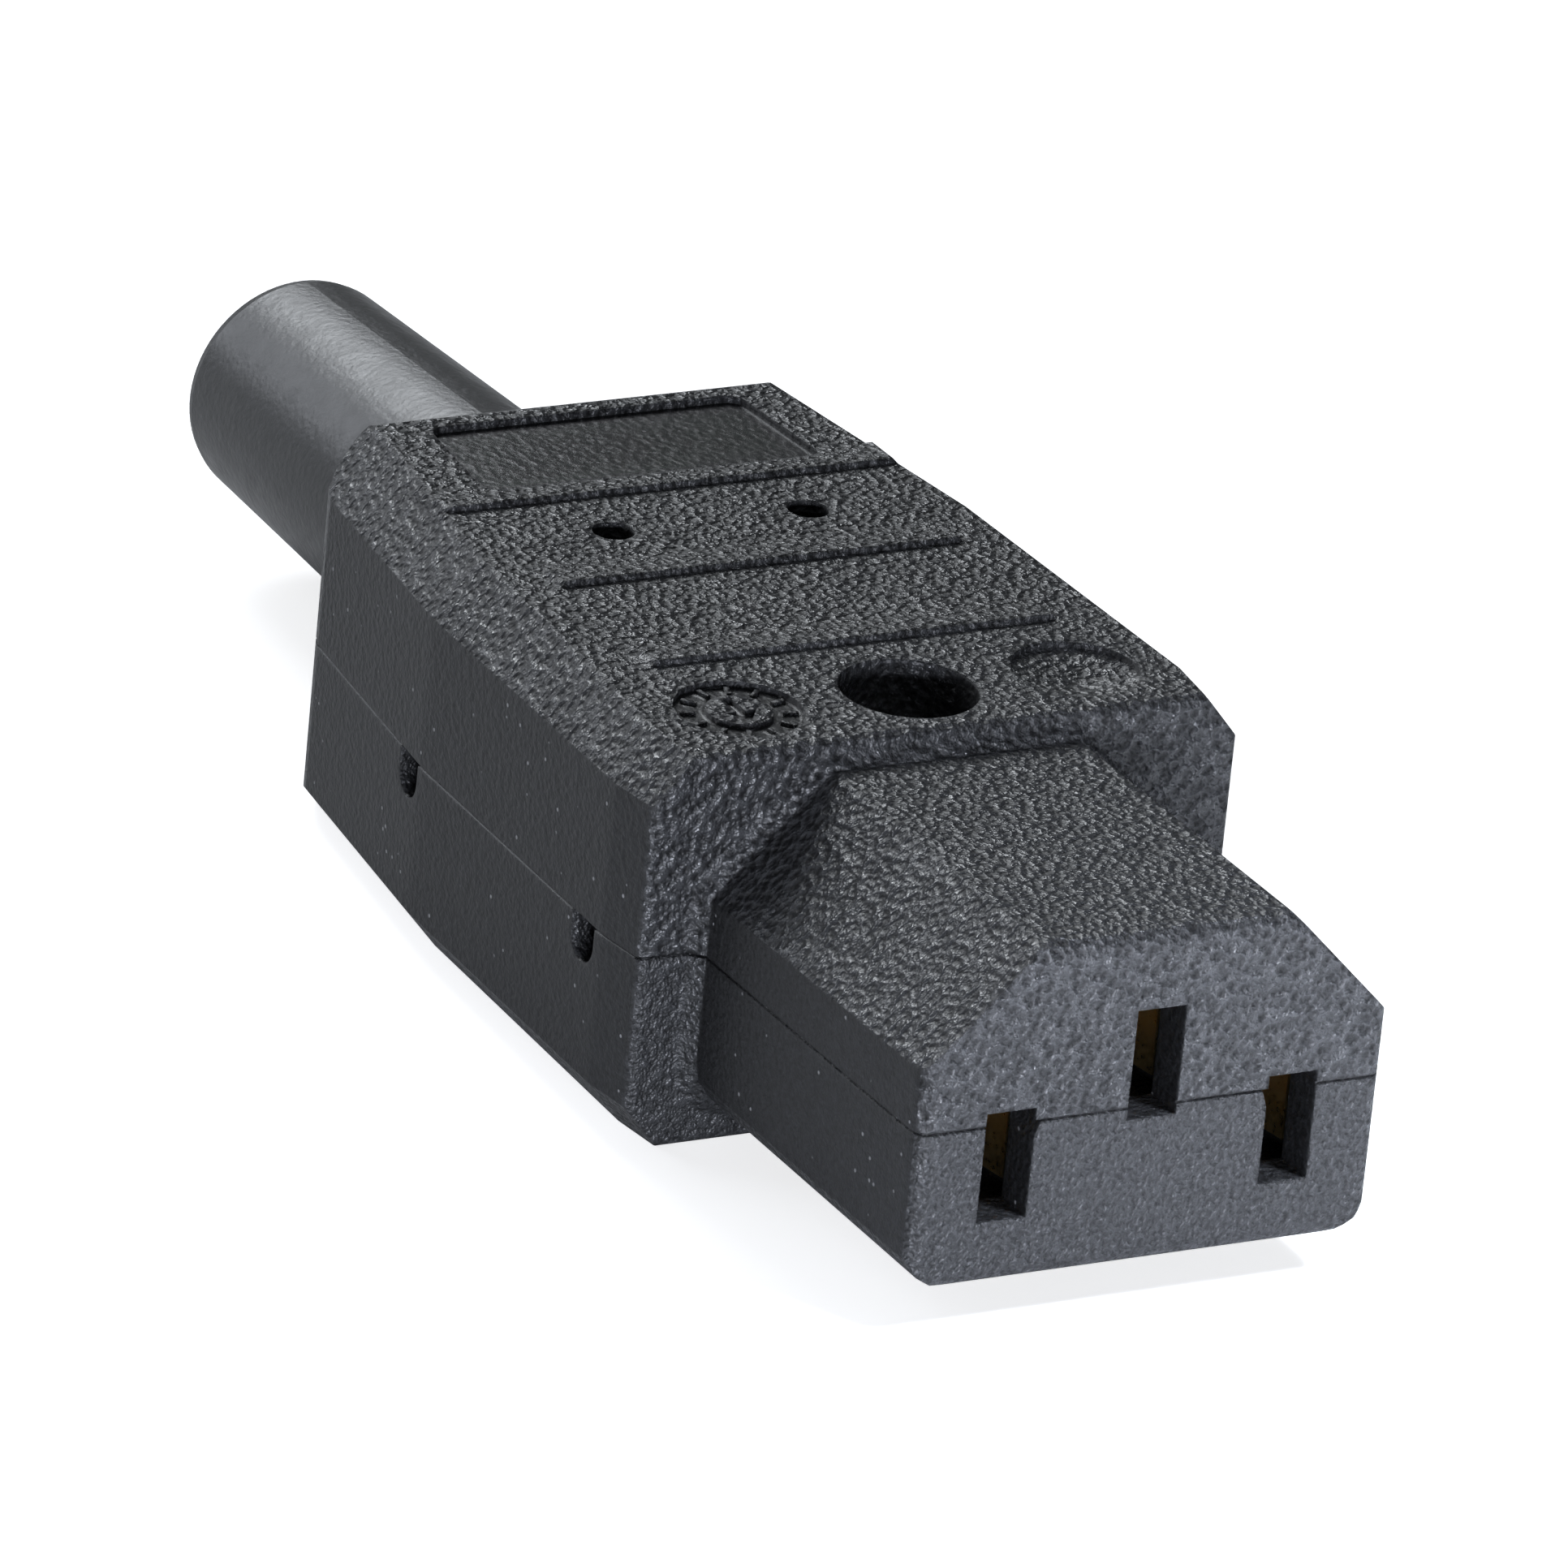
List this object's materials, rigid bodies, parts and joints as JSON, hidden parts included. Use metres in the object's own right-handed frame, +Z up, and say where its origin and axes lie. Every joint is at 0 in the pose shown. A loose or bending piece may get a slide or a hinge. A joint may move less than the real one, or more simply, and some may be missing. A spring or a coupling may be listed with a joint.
{
  "type": "c13 power connector",
  "caption": "Rewireable C13 cord connector: two moulded shells on a central screw, sprung contacts, screw terminals, a cord clamp and a tapering bend relief sleeve.",
  "frame": {"origin": "centre of the mating face on the shells' parting plane, between the line and neutral slots", "axes": "+X out of the mating face towards the inlet, +Z up to the side with the earth slot and the screw well, +Y towards the line slot"},
  "size_m": [0.0858, 0.0302, 0.0204],
  "materials": {
    "shell_plastic": "spark-eroded black",
    "sleeve_rubber": "smooth matte",
    "contact_brass": "stamped",
    "spring_steel": "bright",
    "plated_steel": "nickel plated",
    "clamp_plastic": "moulded"
  },
  "bodies": {
    "root": {"upper_shell": "shell_plastic", "lower_shell": "shell_plastic", "bend_relief_sleeve": "sleeve_rubber", "housing_screw": "plated_steel", "housing_nut": "plated_steel", "line_contact": "contact_brass", "neutral_contact": "contact_brass", "earth_contact": "contact_brass", "line_contact_spring": "spring_steel", "neutral_contact_spring": "spring_steel", "earth_contact_spring": "spring_steel", "line_wire_plate": "plated_steel", "neutral_wire_plate": "plated_steel", "earth_wire_plate": "plated_steel", "line_terminal_screw": "plated_steel", "neutral_terminal_screw": "plated_steel", "earth_terminal_screw": "plated_steel", "cord_clamp_bar": "clamp_plastic", "left_clamp_screw": "plated_steel", "right_clamp_screw": "plated_steel"}
  },
  "joints": []
}
